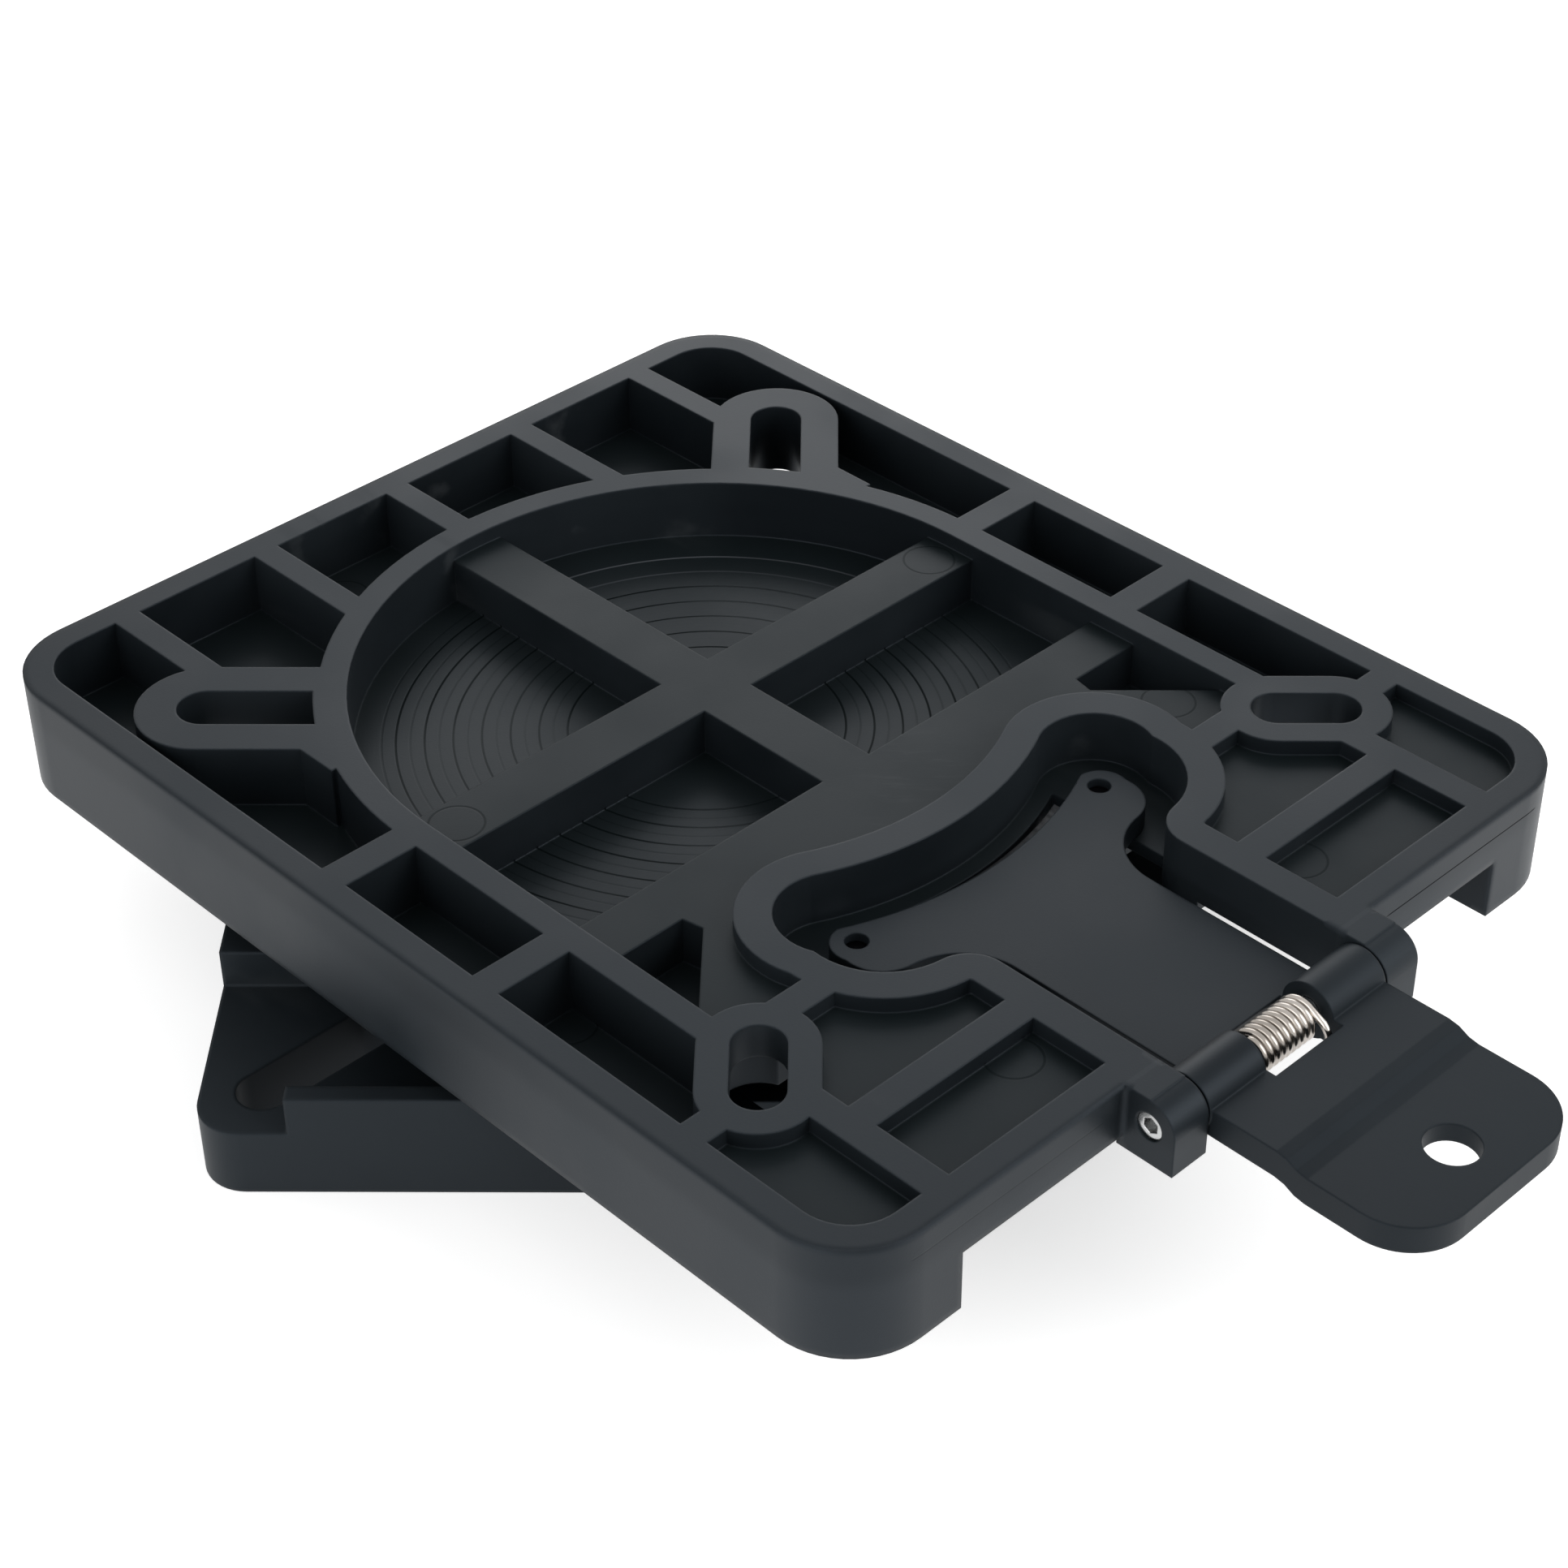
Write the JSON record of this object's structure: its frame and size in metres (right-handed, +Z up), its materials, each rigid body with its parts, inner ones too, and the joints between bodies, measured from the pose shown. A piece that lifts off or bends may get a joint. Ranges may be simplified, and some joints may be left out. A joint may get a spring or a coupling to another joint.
{
  "type": "swivel seat base",
  "caption": "Quick-release swivel seat base: ribbed plastic seat plate that turns on a disc over a square floor plate, with a sprung release lever hinged at the front.",
  "frame": {"origin": "on the swivel axis, in the plane of the base plate's underside", "axes": "+Z up along the swivel axis, towards the seat face; -Y towards the release lever; X across the seat plate. The base plate is at rest at 45 degrees to the seat plate, as in the picture."},
  "size_m": [0.228, 0.2733, 0.048],
  "materials": {
    "seat_plate": "satin black moulded nylon with a blue-grey cast",
    "base_plate": "satin black moulded nylon",
    "swivel_disc": "satin black moulded nylon",
    "disc_screws": "zinc-plated steel",
    "slip_ring": "natural low-friction plastic",
    "release_lever": "satin black moulded nylon",
    "latch_plate": "blackened steel",
    "latch_screws": "blackened steel",
    "hinge_screw": "bright stainless steel",
    "hinge_insert": "plain brass",
    "torsion_spring": "polished stainless spring wire"
  },
  "bodies": {
    "base": {"base_plate": "base_plate", "swivel_disc": "swivel_disc", "disc_screws": "disc_screws", "slip_ring": "slip_ring"},
    "seat": {"seat_plate": "seat_plate", "hinge_screw": "hinge_screw", "hinge_insert": "hinge_insert", "torsion_spring": "torsion_spring"},
    "lever": {"release_lever": "release_lever", "latch_plate": "latch_plate", "latch_screws": "latch_screws"}
  },
  "joints": [
    {"name": "swivel", "type": "hinge", "parent": "base", "child": "seat", "pos_m": [0, 0, 0], "axis": [0, 0, 1], "continuous": true},
    {"name": "release_lever", "type": "hinge", "parent": "seat", "child": "lever", "pos_m": [0, -0.1295, 0.0427], "axis": [1, 0, 0], "range_deg": [0, 4.5], "stiffness_Nm_per_rad": 0.5, "springref_deg": -14.9, "deforming": ["torsion_spring"]}
  ]
}
